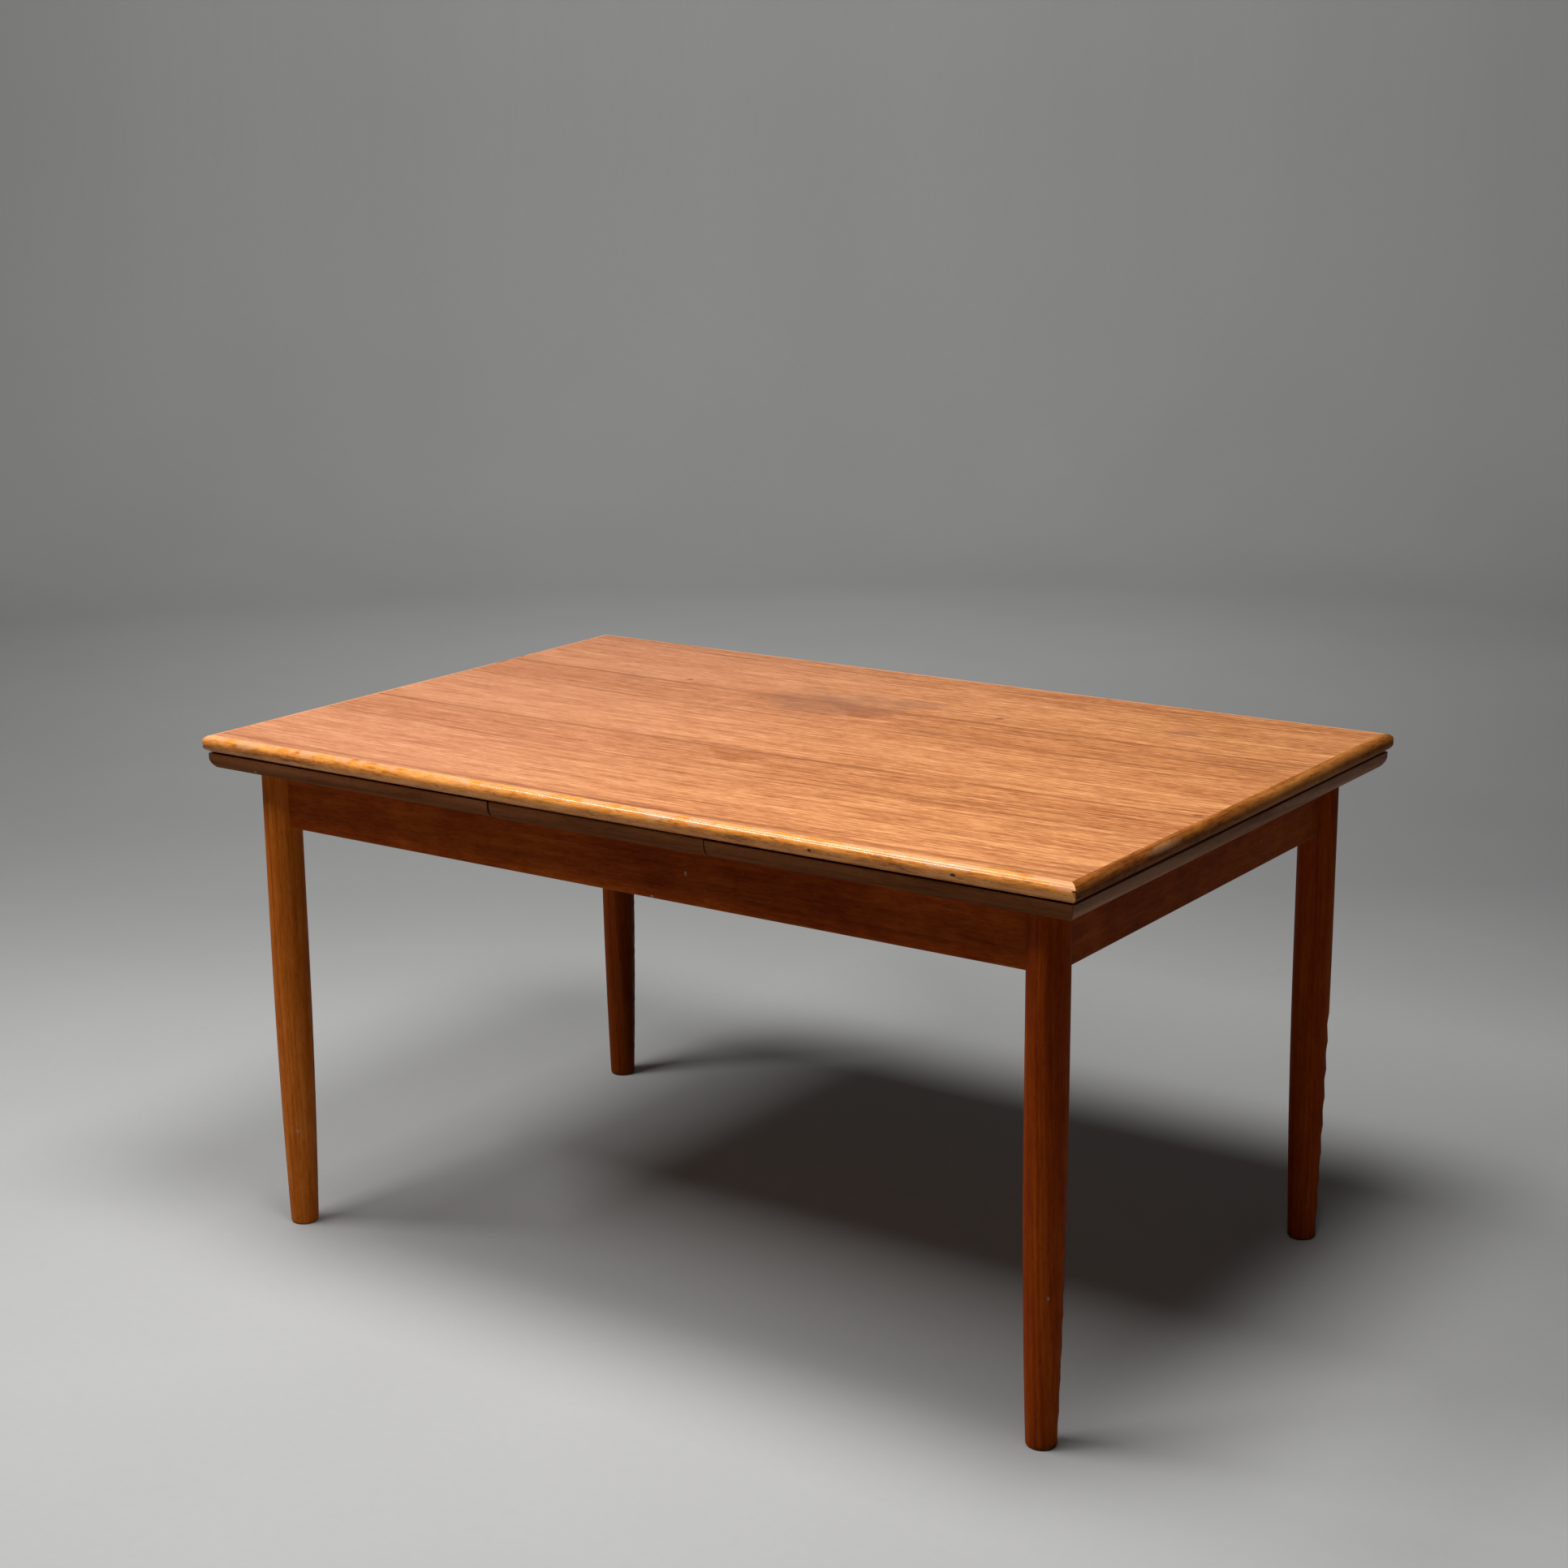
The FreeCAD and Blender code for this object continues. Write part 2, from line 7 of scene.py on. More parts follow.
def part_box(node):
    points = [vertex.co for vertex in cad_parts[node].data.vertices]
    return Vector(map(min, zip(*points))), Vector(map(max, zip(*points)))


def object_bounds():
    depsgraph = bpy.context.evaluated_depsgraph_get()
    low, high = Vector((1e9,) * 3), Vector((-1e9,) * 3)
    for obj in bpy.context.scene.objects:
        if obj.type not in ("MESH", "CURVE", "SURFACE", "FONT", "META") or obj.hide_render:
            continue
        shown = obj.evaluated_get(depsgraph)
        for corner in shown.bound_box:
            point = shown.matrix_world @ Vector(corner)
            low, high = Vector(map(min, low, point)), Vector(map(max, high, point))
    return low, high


# Looks of the draw-leaf dining table: a procedural material for every piece, and around it a plain
# floor, soft light and a camera. Metres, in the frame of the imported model, where the origin is on
# the floor under the middle of the table, +X is its right end and -Y its front.
#
# A node's object sits at the origin, so its Object coordinates are places in that frame and stay
# with the piece when it moves.

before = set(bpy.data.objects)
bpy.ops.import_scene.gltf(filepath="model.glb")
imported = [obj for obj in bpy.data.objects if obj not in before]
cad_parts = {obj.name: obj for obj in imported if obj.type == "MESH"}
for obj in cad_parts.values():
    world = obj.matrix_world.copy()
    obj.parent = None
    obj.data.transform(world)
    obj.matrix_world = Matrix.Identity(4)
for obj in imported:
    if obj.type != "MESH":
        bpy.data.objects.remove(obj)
cad_low, cad_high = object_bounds()

X, Y, Z = 0, 1, 2
# For each direction that the fibres may take: which axes lie along, across and through the board
BOARD_AXES = {"x": (X, Y, Z), "y": (Y, X, Z), "z": (Z, X, Y)}
SURFACE = cad_high.z
FRONT = cad_low.y
RIGHT = cad_high.x


# ---------------------------------------------------------------- node helpers
class Shader:
    """A material's node tree, with short ways to add the nodes that the looks are made of."""

    def __init__(self, name):
        self.material = bpy.data.materials.new(name)
        self.material.use_nodes = True
        self.tree = self.material.node_tree
        self.tree.nodes.clear()
        self.place = self.add("ShaderNodeTexCoord").outputs["Object"]
        self.axis = self.add("ShaderNodeSeparateXYZ", {0: self.place}).outputs

    def add(self, kind, inputs=(), **settings):
        made = self.tree.nodes.new(kind)
        for key, value in settings.items():
            setattr(made, key, value)
        for key, value in dict(inputs).items():
            if isinstance(value, bpy.types.NodeSocket):
                self.tree.links.new(value, made.inputs[key])
            else:
                made.inputs[key].default_value = value
        return made

    def math(self, operation, first, second=0.0):
        return self.add("ShaderNodeMath", {0: first, 1: second}, operation=operation).outputs[0]

    def plus(self, first, second):
        return self.math("ADD", first, second)

    def times(self, first, second):
        return self.math("MULTIPLY", first, second)

    def away(self, value, place):
        """Distance of a value from a place."""
        return self.math("ABSOLUTE", self.math("SUBTRACT", value, place))

    def vector(self, x=0.0, y=0.0, z=0.0):
        return self.add("ShaderNodeCombineXYZ", {0: x, 1: y, 2: z}).outputs[0]

    def noise(self, x, y, z=0.0, detail=2.0, roughness=0.5):
        """Smooth noise from 0 to 1 with cells one unit wide."""
        values = {"Vector": self.vector(x, y, z), "Scale": 1.0, "Detail": detail, "Roughness": roughness}
        return self.add("ShaderNodeTexNoise", values).outputs[0]

    def cells(self, axes, per_metre, detail=2.0, roughness=0.5):
        """Noise along three axes, with that many cells per metre on each."""
        scaled = [self.times(axis, count) for axis, count in zip(axes, per_metre)]
        return self.noise(*scaled, detail, roughness)

    def even_cells(self, per_metre, detail, roughness=0.5):
        """Noise with cells of one size in every direction."""
        return self.cells([self.axis[i] for i in (X, Y, Z)], [per_metre] * 3, detail, roughness)

    def swing(self, value, amount):
        """Value's departure from one half, times an amount."""
        return self.times(self.math("SUBTRACT", value, 0.5), amount)

    def between(self, value, low, high):
        """0 at low, 1 at high, and smooth between them."""
        values = {"Value": value, "From Min": low, "From Max": high}
        return self.add("ShaderNodeMapRange", values, interpolation_type="SMOOTHSTEP").outputs[0]

    def layers(self, start, *pairs):
        """A start value and the swings of (noise, amount) pairs, added up."""
        for value, amount in pairs:
            start = self.plus(start, self.swing(value, amount))
        return start

    def ramp(self, value, stops):
        """Colour by value, from a list of (position, colour)."""
        made = self.add("ShaderNodeValToRGB", {0: value})
        points = made.color_ramp.elements
        while len(points) < len(stops):
            points.new(0.5)
        for point, (position, colour) in zip(points, stops):
            point.position = position
            point.color = (*colour, 1.0)
        return made.outputs[0]

    def three_tones(self, tone, tones):
        """Dark, middle and light colours along a tone that lies about one half."""
        return self.ramp(tone, list(zip((0.1, 0.5, 0.95), tones)))

    def mix(self, factor, first, second, blend="MIX"):
        made = self.add("ShaderNodeMix", data_type="RGBA", blend_type=blend)
        for key, value in ((0, factor), (6, first), (7, second)):
            if isinstance(value, bpy.types.NodeSocket):
                self.tree.links.new(value, made.inputs[key])
            else:
                made.inputs[key].default_value = value if key == 0 else (*value, 1.0)
        return made.outputs[2]

    def spot(self, centre, size, ragged=0.35, soft=0.5):
        """1 inside an ellipsoid with a ragged outline, 0 outside it."""
        cells_across, outline = 0.8, 0.85
        offset = self.add("ShaderNodeVectorMath", {0: self.place, 1: centre}, operation="SUBTRACT")
        scaled = self.add("ShaderNodeVectorMath", {0: offset.outputs[0], 1: size}, operation="DIVIDE")
        reach = self.add("ShaderNodeVectorMath", {0: scaled.outputs[0]}, operation="LENGTH")
        rough = self.even_cells(cells_across / min(size), 3.0)
        edge = self.plus(reach.outputs["Value"], self.swing(rough, 2 * ragged))
        return self.between(edge, outline + soft / 2, outline - soft / 2)

    def edge_strip(self, axis, place, width):
        """1 in a ragged strip along an edge, 0 elsewhere: for worn edges, and for a painted highlight along
        a lit shoulder.
        """
        patchy = self.even_cells(35.0, 3.0)
        limit = self.times(self.between(patchy, 0.3, 0.75), width)
        return self.between(self.math("SUBTRACT", limit, self.away(self.axis[axis], place)), 0.0, width / 2)

    def finish(self, colour, roughness, height, depth, specular=0.5, metallic=0.0, sheen=0.0):
        """Ends the tree in a Principled shader with a bump of that depth in metres."""
        bump = self.add("ShaderNodeBump", {"Height": height, "Distance": depth, "Strength": 1.0})
        values = {
            "Base Color": colour,
            "Roughness": roughness,
            "Normal": bump.outputs[0],
            "Specular IOR Level": specular,
            "Metallic": metallic,
            "Sheen Weight": sheen,
        }
        shader = self.add("ShaderNodeBsdfPrincipled", values)
        self.add("ShaderNodeOutputMaterial", {"Surface": shader.outputs[0]})
        return self.material


def dress(node, material):
    """Gives one material to the whole of a CAD node."""
    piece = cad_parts[node]
    for slot in piece.material_slots:
        slot.link = "OBJECT"
        slot.material = material


# ---------------------------------------------------------------- wood
def fibres(shader, along, across, through):
    """Fibre streaks, short flecks and open pores, shared by every wood, each 0 to 1."""
    axes = (along, across, through)
    streak = shader.cells(axes, (9.0, 240.0, 240.0), 3.0, 0.6)
    fleck = shader.cells(axes, (60.0, 420.0, 420.0), 2.0, 0.6)
    dash = shader.cells(axes, (70.0, 1300.0, 1300.0), 1.0)
    return streak, fleck, shader.between(dash, 0.62, 0.74)


def darker(colour, share):
    return [channel * share for channel in colour]


def solid_wood(name, grain, seed, tones, pith=(0.07, 0.09), lean=0.03, ring=0.0045, gloss=0.42,
               shine=0.2, relief=0.00012, mottle=0.5, flecks=0.5, wear_and_light_strips=(), marks=()):
    """Solid timber: growth rings round a pith that runs beside the board, streaked along the fibres.

    tones is (dark, middle, light). pith is how far the heart of the tree lies from the board, across
    and through it, and lean is how much it wanders off along the board. ring is the ring width.
    relief is the depth of the grain. mottle and flecks are the strength of cloudy patches and of
    short dark flecks. wear_and_light_strips is a list of (axis, place, width, colour) for ragged
    strips along edges: worn edges, and a painted highlight along a lit shoulder. marks is a list of
    (centre, size, colour, strength) for dents and specks. seed picks a part of the noise.
    """
    shader = Shader(name)
    along_axis, across_axis, through_axis = BOARD_AXES[grain]
    along = shader.plus(shader.axis[along_axis], seed * 3.7)
    wander = shader.noise(shader.times(along, 1.6), seed * 5.1, detail=1.0)
    across = shader.plus(shader.axis[across_axis], shader.swing(wander, 0.02))
    through = shader.axis[through_axis]
    axes = (along, across, through)
    low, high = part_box(name)
    middle = (low + high) / 2
    from_pith = shader.vector(
        shader.plus(shader.plus(across, -middle[across_axis] + pith[0]), shader.times(along, lean)),
        shader.plus(through, -middle[through_axis] + pith[1]),
    )
    radius = shader.add("ShaderNodeVectorMath", {0: from_pith}, operation="LENGTH").outputs["Value"]
    rings = shader.noise(
        shader.times(along, 0.5), shader.times(radius, 1.0 / ring), seed * 2.3, 2.0, 0.6)
    streaks = shader.cells(axes, (3.5, 90.0, 90.0), 3.0, 0.6)
    patches = shader.cells(axes, (2.2, 9.0, 9.0))
    cloud = shader.cells(axes, (24.0, 70.0, 70.0), 3.0, 0.65)
    fine, fleck, pores = fibres(shader, *axes)
    tone = shader.layers(
        0.5, (rings, 0.9), (streaks, 0.6), (patches, 0.6), (cloud, mottle), (fine, 0.5), (fleck, flecks))
    dark = tones[0]
    colour = shader.three_tones(tone, tones)
    specks = shader.between(fleck, 0.60, 0.72)
    colour = shader.mix(shader.times(specks, 0.7 * flecks), colour, darker(dark, 0.75))
    colour = shader.mix(shader.times(pores, 0.55), colour, darker(dark, 0.45))
    height = shader.plus(shader.times(fine, 0.5), shader.times(pores, -0.6))
    # Strips along edges, such as worn edges and a painted highlight along a lit shoulder
    for axis, place, width, tint in wear_and_light_strips:
        colour = shader.mix(shader.times(shader.edge_strip(axis, place, width), 0.6), colour, tint)
    for centre, size, stain, strength in marks:
        mask = shader.times(shader.spot(centre, size), strength)
        colour = shader.mix(mask, colour, stain)
        height = shader.plus(height, shader.times(mask, -2.0))
    roughness = shader.plus(gloss, shader.plus(shader.swing(fine, 0.5 * gloss), shader.times(pores, 0.15)))
    return shader.finish(colour, roughness, height, relief, specular=shine)


# Dark, middle and light colour of each wood
TOP_TONES = ((0.25, 0.078, 0.021), (0.41, 0.163, 0.062), (0.58, 0.285, 0.125))
LIPPING_TONES = ((0.21, 0.058, 0.006), (0.61, 0.215, 0.038), (0.79, 0.34, 0.095))
# Partly rubbed wear, partly a painted highlight where light falls on the lipping's shoulder
SHOULDER_WEAR_AND_HIGHLIGHT_TONE = (0.58, 0.30, 0.165)
# Painted shade: darker tones for the right end lipping, which faces away from the light
SHADED_END_LIPPING_TONES = ((0.12, 0.032, 0.005), (0.25, 0.080, 0.014), (0.40, 0.15, 0.034))
LEAF_EDGE_TONES = ((0.088, 0.026, 0.007), (0.150, 0.049, 0.016), (0.220, 0.080, 0.030))
GREY_EDGE_TONES = ((0.190, 0.080, 0.042), (0.300, 0.145, 0.085), (0.430, 0.230, 0.150))
LEAF_FACE_TONES = ((0.26, 0.085, 0.022), (0.42, 0.155, 0.050), (0.56, 0.24, 0.090))
APRON_TONES = ((0.140, 0.018, 0.001), (0.245, 0.040, 0.002), (0.37, 0.080, 0.008))
GOLDEN_LEG_TONES = ((0.27, 0.052, 0.002), (0.44, 0.108, 0.010), (0.60, 0.190, 0.034))
RED_LEG_TONES = ((0.15, 0.016, 0.001), (0.25, 0.036, 0.001), (0.36, 0.075, 0.005))
SHADED_LEG_TONES = ((0.09, 0.012, 0.001), (0.14, 0.022, 0.001), (0.20, 0.042, 0.004))
BEECH_TONES = ((0.42, 0.26, 0.13), (0.56, 0.37, 0.20), (0.66, 0.47, 0.28))
# A paler colour for a ragged strip along the bottom edge of each apron
PALE_APRON_EDGE_TONE = (0.30, 0.10, 0.025)
# A darker colour for a ragged band along the foot of each leg
DARK_FOOT_BAND_TONE = (0.05, 0.02, 0.008)
GREY_DENT = (0.30, 0.25, 0.21)
DARK_NICK = (0.03, 0.012, 0.004)


def veneer(name, seed, tones, gloss=0.5, shine=0.25, relief=0.00008, stains=()):
    """Sliced veneer laid in slip-matched leaves along X: each leaf repeats the one beside it.

    A leaf starts with lighter, straight streaks. Then come two dark growth lines that bow a little,
    with a redder stretch between them, and the tip of a flame that points to the front.
    stains is a list of (centre, size, colour, strength).
    """
    leaf_width, first_joint = 0.313, 0.368
    first_line, second_line = 0.158, 0.263
    flame_tip, flame_x = first_line + 0.056, 0.008
    shader = Shader(name)
    x, y = shader.axis[X], shader.axis[Y]
    leaf = shader.times(shader.math("SUBTRACT", first_joint, y), 1.0 / leaf_width)
    number = shader.math("FLOOR", leaf)
    in_leaf = shader.times(shader.math("FRACT", leaf), leaf_width)
    slice_at = shader.plus(shader.times(number, 0.15), seed)
    # The growth lines hang a little towards the front in the middle of the table
    to_end = shader.times(x, 1.0 / RIGHT)
    sag = shader.math("SUBTRACT", 1.0, shader.times(to_end, to_end))
    depth = shader.plus(shader.times(in_leaf, 0.06), 0.002)
    wander = shader.noise(shader.times(x, 2.1), shader.times(in_leaf, 1.5), slice_at, 2.0)
    across = shader.math("SUBTRACT", in_leaf, shader.times(sag, depth))
    across = shader.plus(across, shader.swing(wander, 0.014))
    to_right = shader.between(x, -0.5, 0.6)

    def streaks(length, width, detail=2.0):
        """Streaks of that length and width in metres."""
        return shader.noise(
            shader.times(x, 1.0 / length), shader.times(across, 1.0 / width), slice_at, detail, 0.6)

    fine, fleck, pores = fibres(shader, x, across, slice_at)
    threads = streaks(0.09, 0.0045)
    contrast = shader.plus(0.75, shader.times(to_right, 0.6))
    grain = shader.layers(
        0.0, (streaks(0.8, 0.07), 0.34), (streaks(0.35, 0.020, 3.0), 0.36), (streaks(0.16, 0.006), 0.55),
        (threads, 0.90), (fine, 0.80), (fleck, 0.90), (streaks(0.04, 0.02, 3.0), 0.40))
    tone = shader.plus(0.53, shader.times(grain, contrast))
    # The redder stretch between the two lines
    red_part = shader.between(across, first_line - 0.02, first_line + 0.006)
    red_part = shader.times(red_part, shader.between(across, second_line + 0.004, second_line - 0.006))
    tone = shader.plus(tone, shader.times(red_part, -0.085))
    tone = shader.plus(tone, shader.times(shader.between(across, 0.06, first_line), -0.05))
    # The flame: a dark wedge with hollow sides, and a bright streak past its tip
    left_to_tip = shader.times(shader.math("SUBTRACT", flame_tip, across), 1.0 / (flame_tip - first_line))
    hollow = shader.math("POWER", shader.math("MAXIMUM", left_to_tip, 0.0), 1.5)
    half_width = shader.plus(shader.times(hollow, 0.075), 0.012)
    inside = shader.between(shader.math("SUBTRACT", half_width, shader.away(x, flame_x)), -0.01, 0.012)
    flame = shader.times(inside, shader.between(across, first_line - 0.004, first_line + 0.012))
    flame = shader.times(flame, shader.between(across, flame_tip + 0.001, flame_tip - 0.004))
    near_tip = shader.times(flame, shader.between(across, flame_tip - 0.014, flame_tip - 0.003))
    tone = shader.plus(tone, shader.times(flame, -0.17))
    tone = shader.plus(tone, shader.times(near_tip, -0.14))
    streak_x = shader.plus(x, -flame_x - 0.030)
    streak_at = shader.plus(flame_tip + 0.005, shader.times(streak_x, -0.09))
    glint = shader.between(shader.away(across, streak_at), 0.005, 0.001)
    glint = shader.times(glint, shader.between(shader.math("ABSOLUTE", streak_x), 0.062, 0.02))
    tone = shader.plus(tone, shader.times(glint, 0.34))
    dark = tones[0]
    colour = shader.three_tones(tone, tones)
    # Thin dark lines: the two growth lines, and others that fade in and out towards the right end
    faded = shader.between(streaks(0.4, 0.05), 0.25, 0.6)
    strong = shader.plus(0.35, shader.times(faded, 0.65))
    first = shader.times(shader.between(shader.away(across, first_line), 0.0045, 0.0010), strong)
    second = shader.times(shader.between(shader.away(across, second_line), 0.0035, 0.0008), strong)
    thin = shader.between(streaks(0.34, 0.0085, 1.0), 0.63, 0.70)
    thin = shader.times(shader.times(thin, faded), shader.plus(0.12, shader.times(to_right, 0.75)))
    lines = shader.math("MAXIMUM", shader.times(first, 0.85), shader.times(second, 0.75))
    lines = shader.math("MAXIMUM", lines, thin)
    colour = shader.mix(shader.times(lines, 0.82), colour, darker(dark, 0.62))
    from_joint = shader.away(in_leaf, leaf_width / 2)
    joint = shader.between(from_joint, leaf_width / 2 - 0.0006, leaf_width / 2 - 0.0001)
    colour = shader.mix(shader.times(joint, 0.35), colour, darker(dark, 0.6))
    colour = shader.mix(shader.times(pores, 0.35), colour, darker(dark, 0.6))
    # Painted sheen: the left end is painted paler and pinker, a painted reflection, and the right end a
    # deeper orange
    painted_sheen_to_left = shader.between(x, 0.45, -0.55)
    colour = shader.mix(shader.times(painted_sheen_to_left, 0.6), colour, (1.0, 1.0, 1.35), "MULTIPLY")
    colour = shader.mix(shader.times(to_right, 0.8), colour, (1.0, 0.92, 0.74), "MULTIPLY")
    height = shader.plus(shader.times(fine, 0.4), shader.times(pores, -0.6))
    for centre, size, stain, strength in stains:
        cloudy = shader.noise(shader.times(x, 16.0), shader.times(y, 26.0), detail=3.0)
        mask = shader.times(shader.spot(centre, size, 0.55, 0.9), shader.between(cloudy, 0.15, 0.6))
        colour = shader.mix(shader.times(mask, strength), colour, stain)
    roughness = shader.plus(gloss, shader.plus(shader.swing(fine, 0.14), shader.swing(threads, 0.12)))
    return shader.finish(colour, roughness, height, relief, specular=shine)


def plain_shader(name, tones, roughness, scale, depth, metallic=0.0, sheen=0.0):
    """An even material with fine speckle: steel or felt."""
    shader = Shader(name)
    speckle = shader.even_cells(scale, 4.0, 0.6)
    patches = shader.even_cells(scale * 0.06, 2.0)
    tone = shader.layers(0.5, (speckle, 0.8), (patches, 0.6))
    colour = shader.ramp(tone, [(0.15, tones[0]), (0.85, tones[1])])
    rough = shader.plus(roughness, shader.swing(patches, 0.25))
    return shader.finish(colour, rough, speckle, depth, metallic=metallic, sheen=sheen)


# ---------------------------------------------------------------- the top
# Stains, nicks and dents are rows of centre, half size, colour and strength
STAINS = (
    ((-0.065, 0.203, SURFACE), (0.105, 0.085, 0.1), (0.19, 0.085, 0.048), 0.56),
    ((0.045, 0.253, SURFACE), (0.05, 0.030, 0.1), (0.19, 0.085, 0.048), 0.46),
    ((-0.43, 0.193, SURFACE), (0.035, 0.014, 0.1), (0.22, 0.09, 0.045), 0.45),
    ((0.45, 0.293, SURFACE), (0.026, 0.022, 0.1), (0.20, 0.075, 0.04), 0.50),
    ((0.15, 0.113, SURFACE), (0.032, 0.014, 0.1), (0.18, 0.06, 0.02), 0.50),
    ((-0.345, 0.223, SURFACE), (0.006, 0.005, 0.1), (0.13, 0.05, 0.02), 0.7),
    ((0.188, 0.238, SURFACE), (0.007, 0.006, 0.1), (0.13, 0.04, 0.01), 0.7),
    ((0.665, -0.099, SURFACE), (0.008, 0.005, 0.1), (0.08, 0.03, 0.01), 0.8),
)
LIPPING_NICKS = (
    ((0.5306, FRONT, SURFACE - 0.0120), (0.0042, 0.004, 0.0022), DARK_NICK, 1.0),
    ((0.3326, FRONT, SURFACE - 0.0125), (0.0034, 0.004, 0.0020), DARK_NICK, 1.0),
    ((RIGHT - 0.003, FRONT + 0.001, SURFACE - 0.0075), (0.0035, 0.004, 0.0016), DARK_NICK, 0.9),
)
END_SCUFFS = (
    ((RIGHT, -0.235, SURFACE - 0.005), (0.01, 0.045, 0.006), (0.36, 0.21, 0.12), 0.35),
    ((RIGHT - 0.001, FRONT + 0.007, SURFACE - 0.0140), (0.004, 0.004, 0.0015), DARK_NICK, 0.8),
)


# The right end lipping has lost its polish and gets darker tones, a painted shade. The other three lippings
# get a pale strip along the shoulder, partly rubbed wear and partly a painted highlight
# Dull finish, and darker tones as a painted shade
DULL_SHADED_LIPPING = {"tones": SHADED_END_LIPPING_TONES, "gloss": 0.5, "shine": 0.03}
POLISHED_WORN_HIGHLIGHTED_LIPPING = {
    "tones": LIPPING_TONES, "gloss": 0.15, "shine": 0.24,
    # Painted highlight and wear: a pale strip along the top of the shoulder
    "wear_and_light_strips": ((Z, SURFACE, 0.012, SHOULDER_WEAR_AND_HIGHLIGHT_TONE),),
}


def dress_top():
    dress("top_panel", veneer("top_panel", 1.0, TOP_TONES, stains=STAINS))
    for seed, side in enumerate(("front", "back", "left", "right"), 2):
        name = f"top_{side}_lipping"
        grain = "x" if side in ("front", "back") else "y"
        marks = {"front": LIPPING_NICKS, "right": END_SCUFFS}.get(side, ())
        look = DULL_SHADED_LIPPING if side == "right" else POLISHED_WORN_HIGHLIGHTED_LIPPING
        dress(name, solid_wood(
            name, grain, seed, ring=0.0035, relief=0.00003, mottle=1.0, flecks=0.9, marks=marks, **look))


# ---------------------------------------------------------------- leaves and centre board
def dress_edge(name, grain, seed, marks=()):
    tones = GREY_EDGE_TONES if name == "right_leaf_outer_lipping" else LEAF_EDGE_TONES
    dress(name, solid_wood(
        name, grain, seed, tones, gloss=0.65, shine=0.02, mottle=0.4, flecks=0.4, marks=marks))


LEAF_SPECKS = {
    "left": (((-0.597, -0.441, 0.688), (0.0026, 0.008, 0.0020), GREY_DENT, 1.0),),
    "right": (),
}


def dress_leaf(hand, seed):
    name = f"{hand}_leaf_panel"
    dress(name, veneer(name, seed, LEAF_FACE_TONES, gloss=0.45))
    for step, side in enumerate(("front", "back", "inner", "outer")):
        grain = "x" if side in ("front", "back") else "y"
        dress_edge(f"{hand}_leaf_{side}_lipping", grain, seed + step, LEAF_SPECKS[hand])
    for step, depth in enumerate(("front", "back")):
        name = f"{hand}_leaf_{depth}_runner"
        dress(name, solid_wood(name, "x", seed + 4 + step, BEECH_TONES, gloss=0.55, mottle=0.2))
    name = f"{hand}_leaf_stop_pegs"
    dress(name, solid_wood(name, "z", seed + 6, BEECH_TONES, gloss=0.5, mottle=0.2))


def dress_centre_board():
    dress("centre_board_panel", veneer("centre_board_panel", 5.0, LEAF_FACE_TONES))
    for seed, side in enumerate(("front", "back", "left", "right"), 22):
        dress_edge(f"centre_board_{side}_lipping", "x" if side in ("front", "back") else "y", seed)


# ---------------------------------------------------------------- frame
LEG_LOOKS = {
    "front_left": (GOLDEN_LEG_TONES, (
        ((-0.600, -0.40, 0.146), (0.004, 0.01, 0.005), GREY_DENT, 0.8),
    )),
    "front_right": (RED_LEG_TONES, (
        ((0.639, -0.40, 0.267), (0.003, 0.01, 0.006), GREY_DENT, 0.7),
        ((0.632, -0.40, 0.200), (0.002, 0.01, 0.004), GREY_DENT, 0.7),
    )),
    "back_left": (SHADED_LEG_TONES, ()),
    "back_right": (RED_LEG_TONES, ()),
}
APRON_DINGS = (
    ((0.101, -0.386, 0.638), (0.0022, 0.004, 0.0035), GREY_DENT, 0.9),
    ((0.047, -0.386, 0.600), (0.0030, 0.004, 0.0016), GREY_DENT, 0.9),
)


def dress_frame():
    for seed, (place, (tones, marks)) in enumerate(LEG_LOOKS.items(), 30):
        name = f"{place}_leg"
        # Each leg is darker in a ragged band along its foot
        wear_and_light_strips = ((Z, cad_low.z, 0.014, DARK_FOOT_BAND_TONE),)
        dress(name, solid_wood(
            name, "z", seed, tones, pith=(0.02, 0.012), lean=0.012, gloss=0.55, shine=0.03,
            wear_and_light_strips=wear_and_light_strips, marks=marks))
        name = f"{place}_corner_block"
        dress(name, solid_wood(name, "z", seed + 10, BEECH_TONES, gloss=0.6, mottle=0.2))
    sides = (("front", "x"), ("back", "x"), ("left_end", "y"), ("right_end", "y"))
    for seed, (side, grain) in enumerate(sides, 50):
        name = f"{side}_apron"
        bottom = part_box(name)[0].z
        # Each apron is paler in a ragged strip along its bottom edge
        wear_and_light_strips = ((Z, bottom, 0.004, PALE_APRON_EDGE_TONE),)
        marks = APRON_DINGS if side == "front" else ()
        dress(name, solid_wood(
            name, grain, seed, APRON_TONES, gloss=0.5, shine=0.03, mottle=0.8, flecks=0.7,
            wear_and_light_strips=wear_and_light_strips, marks=marks))
    for seed, hand in enumerate(("left", "right"), 60):
        name = f"{hand}_cross_rail"
        dress(name, solid_wood(name, "y", seed, BEECH_TONES, gloss=0.6, mottle=0.2))
    for seed, depth in enumerate(("front", "back"), 70):
        name = f"{depth}_guide_peg"
        dress(name, solid_wood(name, "z", seed, BEECH_TONES, gloss=0.5, mottle=0.2))


def dress_fittings():
    steel_tones = ((0.40, 0.40, 0.39), (0.62, 0.62, 0.60))
    steel = plain_shader("zinc_plated_steel", steel_tones, 0.36, 900.0, 0.00002, metallic=1.0)
    felt_tones = ((0.02, 0.055, 0.03), (0.05, 0.12, 0.07))
    felt = plain_shader("green_felt", felt_tones, 0.95, 1500.0, 0.0003, sheen=0.4)
    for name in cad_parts:
        if name.endswith(("screws", "bolts", "washers", "nuts")):
            dress(name, steel)
    dress("centre_board_felt_pads", felt)


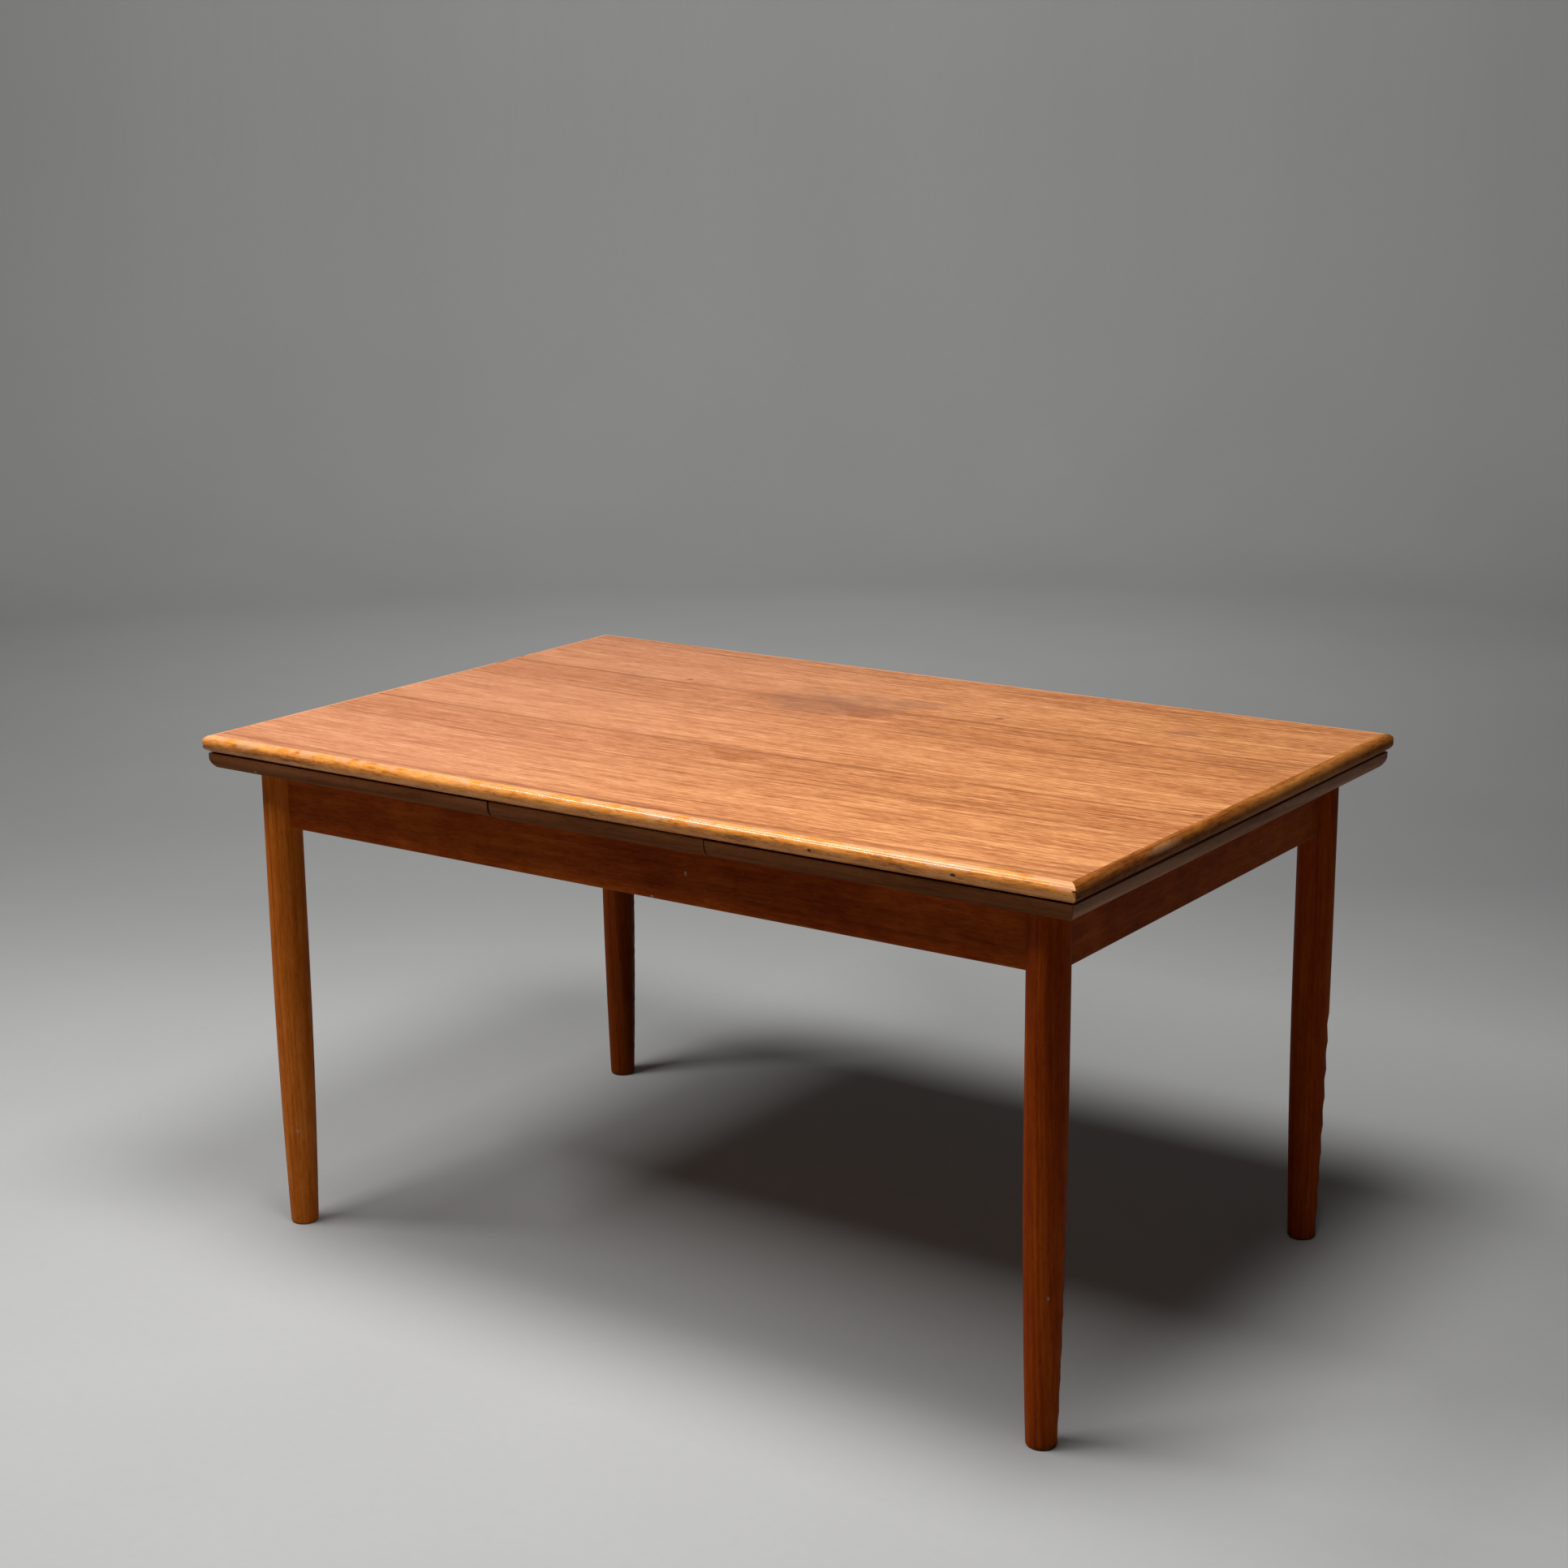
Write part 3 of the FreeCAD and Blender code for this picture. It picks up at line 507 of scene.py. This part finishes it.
# ---------------------------------------------------------------- floor, light and camera
# Name, place, the point it faces, width and height in metres, and power in watts
LIGHTS = (
    ("key", (-1.4, -1.57, 2.9), (-0.3, -0.4, 0.7), (1.6, 0.12), 57.0),
    ("left", (-0.95, -0.35, 2.9), (-0.95, -0.30, 0.0), (0.8, 0.8), 30.0),
    ("right", (0.50, -0.50, 2.9), (0.45, -0.4, 0.7), (1.0, 0.8), 64.0),
    ("backdrop", (-1.8, 2.4, 3.2), (-5.0, 7.0, 1.0), (2.5, 1.0), 90.0),
)
SKY_COLOUR, SKY_STRENGTH = (0.92, 0.96, 1.0), 0.04
CAMERA_PLACE = (2.0659, -2.9802, 1.5591)
CAMERA_TURN, CAMERA_DIP, CAMERA_ROLL = 0.6100, 0.2431, -0.0091
CAMERA_LENS = 61.907


def make_floor(flat=5.5, bend=1.6, wall=2.2, corners=96, steps=12):
    """A round floor that curves up into a low wall all round, like a paper sweep in a studio."""
    profile = []
    for i in range(steps + 1):
        angle = math.pi / 2 * i / steps
        profile.append((flat + bend * math.sin(angle), bend * (1.0 - math.cos(angle))))
    profile.append((flat + bend, bend + wall))
    mesh = bpy.data.meshes.new("floor")
    shape = bmesh.new()
    centre = shape.verts.new((0.0, 0.0, cad_low.z))
    turns = [i * math.tau / corners for i in range(corners)]
    rings = []
    for radius, height in profile:
        z = cad_low.z + height
        rings.append([shape.verts.new((radius * math.cos(t), radius * math.sin(t), z)) for t in turns])
    for i in range(corners):
        after = (i + 1) % corners
        shape.faces.new((centre, rings[0][i], rings[0][after]))
        for inner, outer in zip(rings, rings[1:]):
            shape.faces.new((inner[i], outer[i], outer[after], inner[after]))
    for face in shape.faces:
        face.smooth = True
    shape.to_mesh(mesh)
    shape.free()
    floor = bpy.data.objects.new("floor", mesh)
    bpy.context.scene.collection.objects.link(floor)
    shader = Shader("pale_floor")
    x, y = shader.axis[X], shader.axis[Y]
    cloud = shader.noise(shader.times(x, 1.5), shader.times(y, 1.5), detail=4.0)
    grit = shader.noise(shader.times(x, 60.0), shader.times(y, 60.0), detail=3.0)
    tone = shader.layers(0.5, (cloud, 0.5), (grit, 0.2))
    colour = shader.ramp(tone, [(0.0, (0.35, 0.35, 0.345)), (1.0, (0.44, 0.44, 0.435))])
    mesh.materials.append(shader.finish(colour, 0.75, grit, 0.0003, specular=0.2))


def make_light(name, place, target, size, energy):
    lamp = bpy.data.lights.new(name, "AREA")
    lamp.shape = "RECTANGLE"
    lamp.size, lamp.size_y = size
    lamp.energy = energy
    made = bpy.data.objects.new(name, lamp)
    bpy.context.scene.collection.objects.link(made)
    made.location = place
    made.rotation_euler = (Vector(target) - Vector(place)).to_track_quat("-Z", "Y").to_euler()


def make_world(colour, strength):
    world = bpy.data.worlds.new("studio")
    world.use_nodes = True
    background = world.node_tree.nodes["Background"]
    background.inputs["Color"].default_value = (*colour, 1.0)
    background.inputs["Strength"].default_value = strength
    bpy.context.scene.world = world


def make_camera(place, turn, dip, roll, lens):
    """A camera that looks along +Y, turned left by turn and down by dip, in radians. lens is in mm."""
    data = bpy.data.cameras.new("camera")
    data.lens = lens
    data.sensor_width = 36.0
    data.clip_end = 200.0
    camera = bpy.data.objects.new("camera", data)
    bpy.context.scene.collection.objects.link(camera)
    tilt = Matrix.Rotation(math.pi / 2 - dip, 3, "X") @ Matrix.Rotation(roll, 3, "Z")
    camera.rotation_euler = (Matrix.Rotation(turn, 3, "Z") @ tilt).to_euler()
    camera.location = place
    bpy.context.scene.camera = camera


dress_top()
dress_leaf("left", 7.0)
dress_leaf("right", 9.0)
dress_centre_board()
dress_frame()
dress_fittings()
make_floor()
for light in LIGHTS:
    make_light(*light)
make_world(SKY_COLOUR, SKY_STRENGTH)
make_camera(CAMERA_PLACE, CAMERA_TURN, CAMERA_DIP, CAMERA_ROLL, CAMERA_LENS)
bpy.context.scene.view_settings.view_transform = "Standard"
